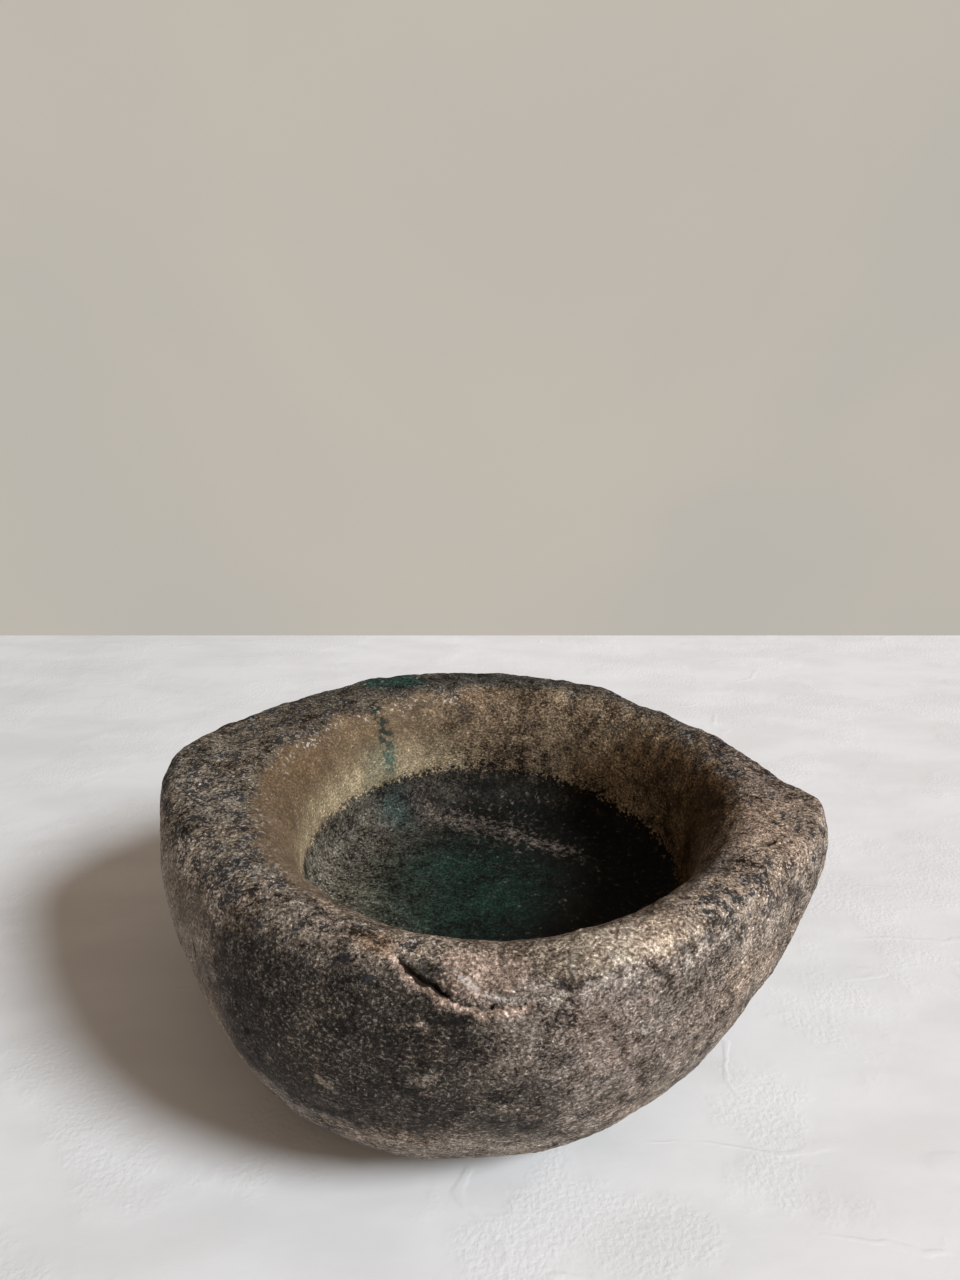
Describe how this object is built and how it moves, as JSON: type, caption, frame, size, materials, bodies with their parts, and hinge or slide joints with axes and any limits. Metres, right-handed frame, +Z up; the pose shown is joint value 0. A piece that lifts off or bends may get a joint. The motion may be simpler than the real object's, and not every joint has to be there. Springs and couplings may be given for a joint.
{
  "type": "molcajete",
  "caption": "Hand-carved stone mortar: a rounded boulder with a deep round grinding bowl, a broad rolled rim and a flat foot, without legs.",
  "frame": {"origin": "on the flat resting face, directly under the vertical axis of the round grinding bowl", "axes": "+X along the longest horizontal extent, towards the right corner of the stone; +Y towards its back; +Z up, out of the bowl"},
  "size_m": [0.3081, 0.2739, 0.1272],
  "materials": {
    "worn_stone": "pecked and worn coarse stone, speckled pinkish tan, grey and black, darker and green-stained inside the bowl"
  },
  "bodies": {
    "root": {"stone_bowl": "worn_stone"}
  },
  "joints": []
}
